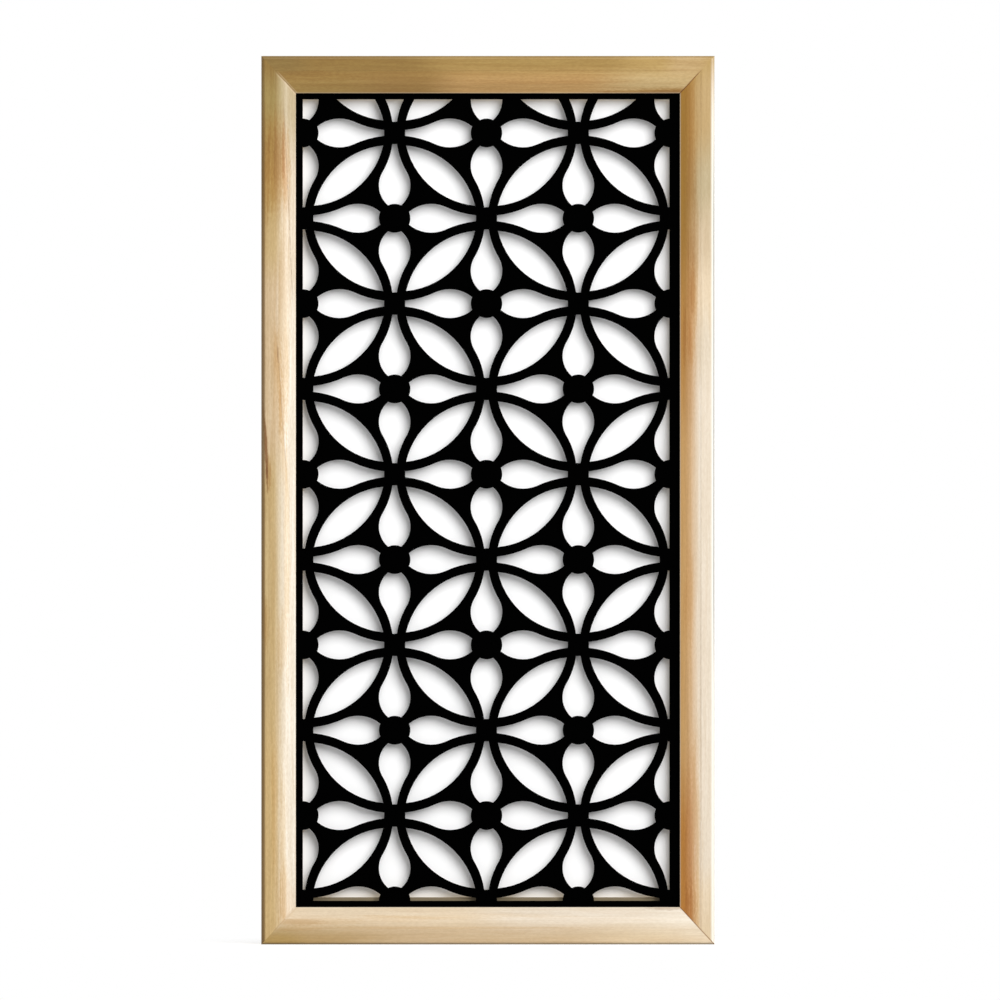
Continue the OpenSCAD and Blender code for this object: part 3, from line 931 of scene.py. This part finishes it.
# %% Dress the bottom rail
dress("bottom_rail", pine_finish(
    "bottom_rail", upright=False, seed=61.0, grain=0.26, pith=(0.03, 0.06), lean=0.04,
    corners=("low_left", "low_right"),
    wood=dict(
        flat_run=[(0.0, OLIVE_TAN), (0.04, OLIVE_TAN), (0.12, DUSK_TAN), (0.38, BISCUIT),
                  (0.62, BISCUIT), (0.86, WHEAT), (0.97, BUTTER)],
        slope_run=[(0.0, BUTTER), (0.42, BUTTER), (0.6, MILK), (0.8, MILK), (0.95, IVORY)],
        blend_band=(0.009, 0.043)),
    marks=[
        dict(stain=BROWN_STAIN, across=0.021, along=-0.26, width=0.006, length=0.050, share=0.45),
        dict(stain=HONEY_STAIN, across=0.020, along=-0.24, width=0.009, length=0.09, share=0.4),
        dict(stain=HONEY_STAIN, across=0.0275, along=-0.08, width=0.0022, length=0.30, share=0.35),
        dict(stain=HONEY_STAIN, across=0.028, along=-0.255, width=0.006, length=0.045, share=0.4),
        dict(stain=HONEY_STAIN, across=0.0155, along=-0.12, width=0.006, length=0.07, share=0.35),
        dict(stain=HONEY_STAIN, across=0.0125, along=-0.02, width=0.0045, length=0.16, share=0.3),
        # Darker along the opening's edge next to the right mitre
        dict(stain=DARK_STAIN, across=0.001, along=0.25, width=0.004, length=0.05, share=0.5),
    ],
    edge=dict(tone=EDGE_SHADE_GREY, band=(0.0005, 0.0030), strength=0.55, sight_highlight=0.5)))

# %% [markdown]
# ## The black sheet
#
# The sheet is fibreboard, sprayed matt black after it was sawn. Sprayed paint has a very fine
# orange-peel surface, and where the spray was a little drier it is duller. Almost no light comes
# back from it, so its gloss is set close to none.

# %% Spray the sheet black
# How many bumps of the peel there are to a metre, and how many passes of the spray
PEEL_CELLS = 700.0
PASS_CELLS = 9.0
WET_BLACK = (0.0001, 0.0001, 0.0001, 1)
DRY_BLACK = (0.0004, 0.0004, 0.0004, 1)
WET_ROUGH = 0.6
DRY_ROUGH = 0.8
SPRAY_RELIEF = 0.00004


def sprayed_black():
    """Black paint with a fine peel, a little paler and rougher where the spray was drier."""
    material = bpy.data.materials.new("sprayed_black")
    recipe = Recipe(material)
    point = recipe.point()
    peel = recipe.noise(point, PEEL_CELLS, detail=3.0)
    dry = recipe.noise(point, PASS_CELLS, detail=2.0)
    colour = recipe.mix(dry, WET_BLACK, DRY_BLACK)
    relief = recipe.relief(peel, strength=0.5, distance=SPRAY_RELIEF)
    rough = recipe.math("MULTIPLY_ADD", dry, DRY_ROUGH - WET_ROUGH, WET_ROUGH)
    shader = recipe.put("BsdfPrincipled", {
        "Base Color": colour, "Roughness": rough, "Normal": relief, "Specular IOR Level": 0.004})
    recipe.finish("Material", shader.outputs[0])
    return material


dress("fretwork_sheet", sprayed_black())

# %% [markdown]
# ## The beads behind the sheet
#
# The beads are plain planed strips, bare and never finished, so they have the same fibres as the
# frame and no coat. The one at the bottom shows through the lowest openings. What shows there is
# its front face, which lies in the sheet's shadow and is painted darker as shade.

# %% Finish the beads
# Painted shade for the beads' front faces, behind the sheet
BEAD_FRONT_SHADE = tone(138, 124, 98)
FRONT_SHADE_DEEP = 0.001
BEAD_WANDER = dict(fine=60, long=5)
BEAD_FIBRE = dict(fine=1000, long=18, moved=3, detail=4.0)
DARK_FIBRE_RANGE = (0.30, 0.55)
BEAD_PITH = (-0.04, 0.02)
BEAD_LEAN = 0.01
BEAD_RING_PITCH = 0.003
BEAD_LATE_SHARE = 0.5
DARK_FIBRE_SHARE = 0.4
BEAD_ROUGH = 0.6
BEAD_FIBRE_ROUGH = 0.2


def bare_pine(name, upright, seed):
    """Planed wood with its rings and fibres, and with painted shade on its front face, which
    lies behind the sheet.
    """
    material = bpy.data.materials.new(name)
    recipe = Recipe(material)
    lie = lie_on_board(recipe, upright)
    slow = fibre_noise(recipe, lie, upright, seed, **BEAD_WANDER)
    wander = recipe.math("SUBTRACT", slow, NOISE_MIDDLE)
    late = growth_rings(recipe, lie, wander, BEAD_PITH, BEAD_LEAN, BEAD_RING_PITCH)
    colour = recipe.mix(slow, STRAW, HONEY)
    colour = recipe.filter(recipe.times(late, BEAD_LATE_SHARE), colour, BROWN_STAIN)
    fibre = fibre_noise(recipe, lie, upright, seed, **BEAD_FIBRE)
    dark_fibre = fall(recipe, fibre, *DARK_FIBRE_RANGE)
    colour = recipe.mix(recipe.times(dark_fibre, DARK_FIBRE_SHARE), colour, OLIVE_TAN)
    # Painted shade on the front face, where it lies behind the sheet
    shaded_front = fall(recipe, lie["deep"], sheet_back, sheet_back + FRONT_SHADE_DEEP)
    colour = recipe.mix(shaded_front, colour, BEAD_FRONT_SHADE)
    relief = recipe.relief(fibre, strength=0.6, distance=FIBRE_RELIEF)
    rough = recipe.math("MULTIPLY_ADD", fibre, BEAD_FIBRE_ROUGH, BEAD_ROUGH)
    shader = recipe.put("BsdfPrincipled", {
        "Base Color": colour, "Roughness": rough, "Normal": relief, "Specular IOR Level": 0.3})
    recipe.finish("Material", shader.outputs[0])
    return material


standing_bead = bare_pine("bare_pine_standing", upright=True, seed=81.0)
lying_bead = bare_pine("bare_pine_lying", upright=False, seed=91.0)
for node, material in {"left_bead": standing_bead, "right_bead": standing_bead,
                       "top_bead": lying_bead, "bottom_bead": lying_bead}.items():
    dress(node, material)

# %% [markdown]
# ## Pins and wedges
#
# The pins that hold the beads, and the wedges across the mitres, are bright steel wire and strip.
# Drawing and rolling leave fine scratches, so the gloss is broken up by a fine noise, with a
# few duller spots.

# %% Finish the steel
# Scratches to a metre, along x, y and z: the pins point along y, and so do their scratches
SCRATCH_CELLS = (3000.0, 300.0, 3000.0)
SPOT_CELLS = 400.0
SPOT_RANGE = (0.66, 0.56)
BRIGHT_STEEL = (0.44, 0.45, 0.46, 1)
DULL_STEEL = (0.26, 0.24, 0.22, 1)
STEEL_ROUGH = 0.36
DULL_ROUGH = 0.2
SCRATCH_ROUGH = 0.2
SCRATCH_RELIEF = 0.00002


def bright_steel():
    """Finely scratched steel, which is darker and rougher in its dull spots."""
    material = bpy.data.materials.new("bright_steel")
    recipe = Recipe(material)
    point = recipe.point()
    drawn = recipe.put("Mapping", {"Vector": point, "Scale": SCRATCH_CELLS}).outputs[0]
    scratch = recipe.noise(drawn, cells=1.0, detail=3.0)
    spot = recipe.noise(point, SPOT_CELLS, detail=2.0)
    dull = fall(recipe, spot, *SPOT_RANGE)
    colour = recipe.mix(dull, BRIGHT_STEEL, DULL_STEEL)
    rough = recipe.math("MULTIPLY_ADD", dull, DULL_ROUGH, STEEL_ROUGH)
    rough = recipe.math("MULTIPLY_ADD", scratch, SCRATCH_ROUGH, rough)
    relief = recipe.relief(scratch, strength=0.4, distance=SCRATCH_RELIEF)
    shader = recipe.put("BsdfPrincipled", {
        "Base Color": colour, "Roughness": rough, "Normal": relief, "Metallic": 1.0})
    recipe.finish("Material", shader.outputs[0])
    return material


steel = bright_steel()
for node in ("bead_pins", "corner_wedges"):
    dress(node, steel)
